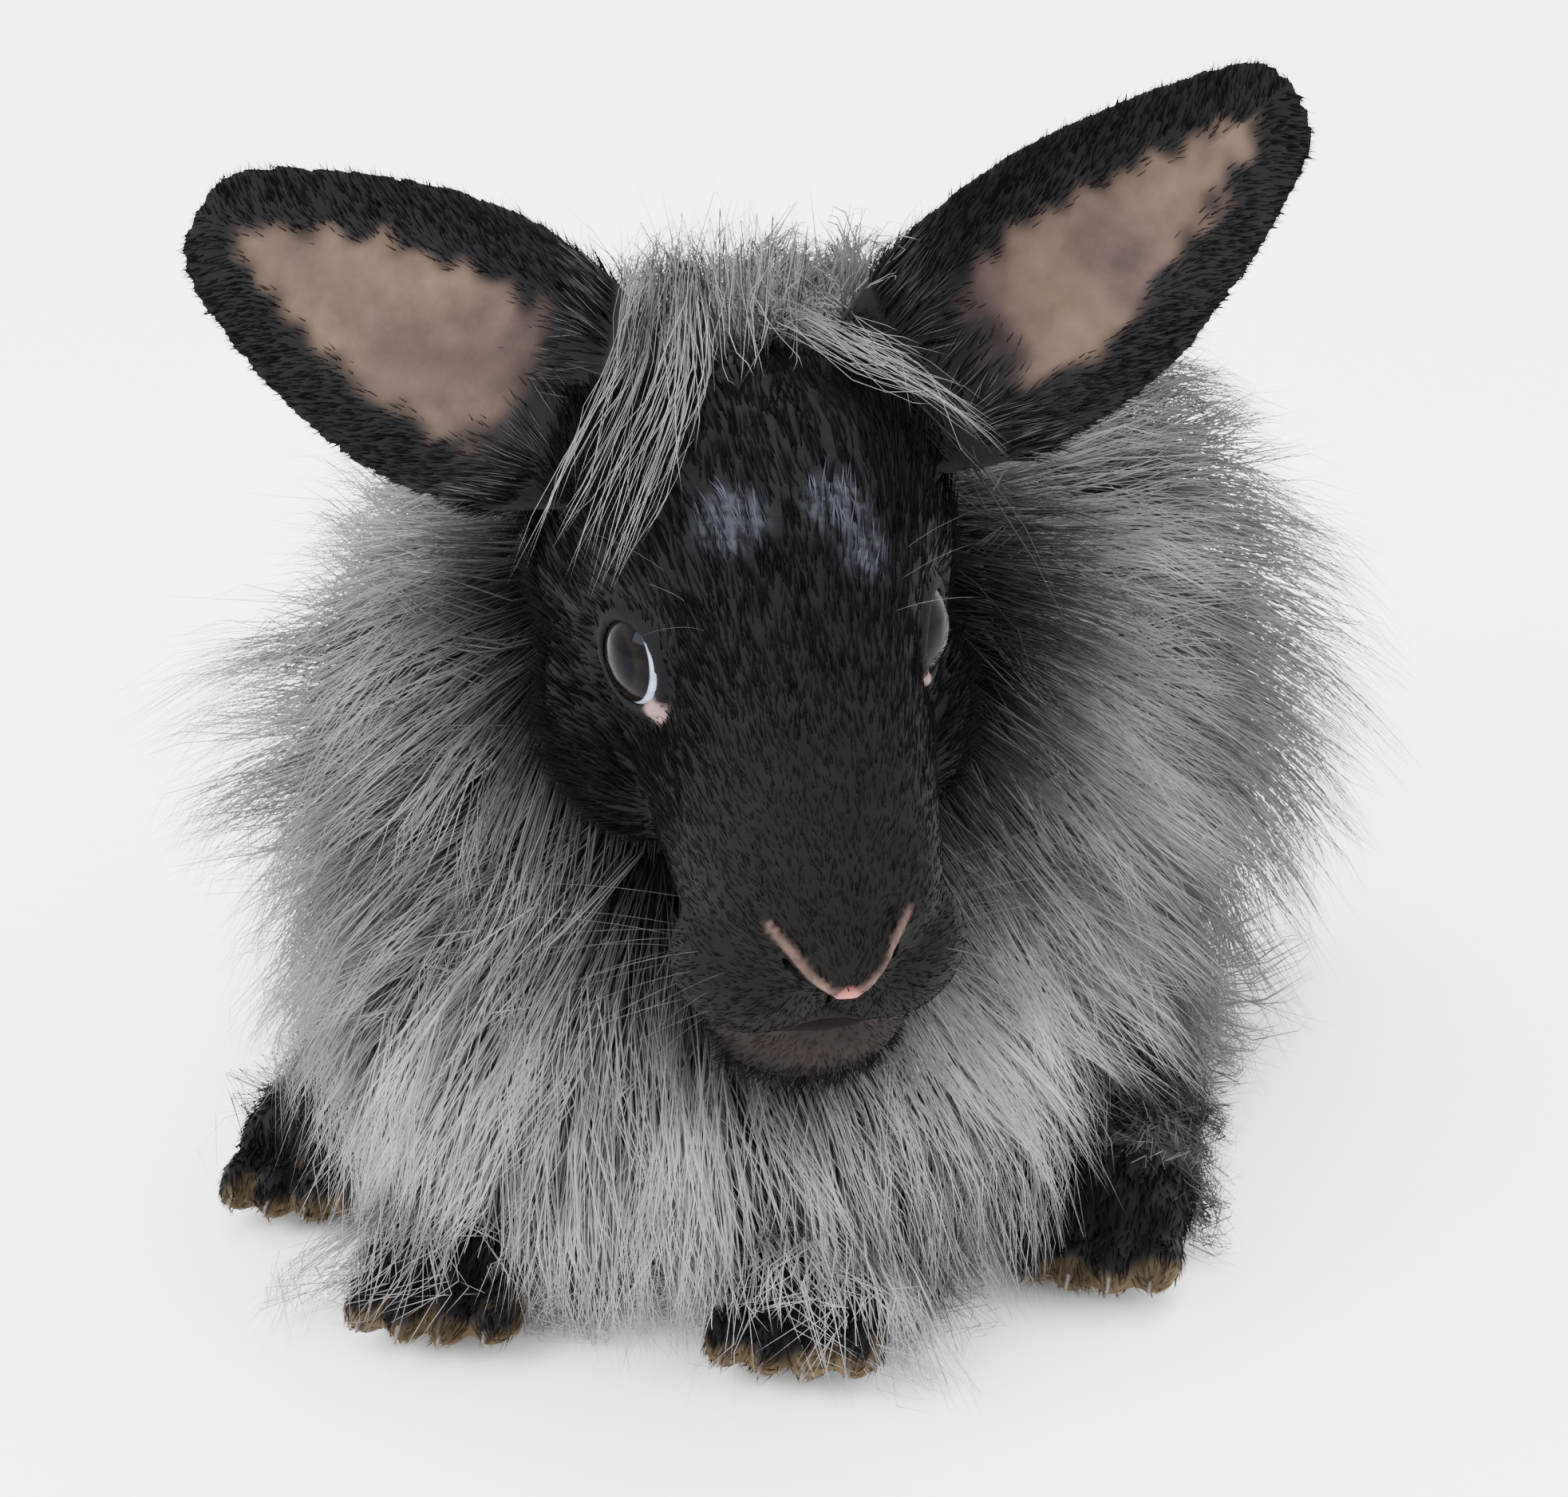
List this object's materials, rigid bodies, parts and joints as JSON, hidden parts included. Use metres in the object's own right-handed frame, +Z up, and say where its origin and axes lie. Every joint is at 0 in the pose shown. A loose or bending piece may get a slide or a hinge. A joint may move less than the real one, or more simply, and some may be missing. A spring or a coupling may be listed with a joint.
{
  "type": "domestic rabbit",
  "caption": "Life-size long-haired rabbit crouching on the floor, head turned, ears spread, with a mane, full coat, paws and fluffy tail.",
  "frame": {"origin": "on the floor, under the middle of the rabbit's outline", "axes": "the body lies along Y with its head towards -Y, +X is the rabbit's left and +Z is up from the floor"},
  "size_m": [0.194, 0.2794, 0.174],
  "materials": {
    "black_fur": "short matt fur",
    "grey_fur": "long soft fur",
    "foot_fur": "short matt fur",
    "eye": "wet gloss"
  },
  "bodies": {
    "root": {"head": "black_fur", "ear_left": "black_fur", "ear_right": "black_fur", "eye_left": "eye", "eye_right": "eye", "neck": "grey_fur", "torso": "grey_fur", "tail": "grey_fur", "foreleg_left": "foot_fur", "foreleg_right": "foot_fur", "hindleg_left": "foot_fur", "hindleg_right": "foot_fur"}
  },
  "joints": []
}
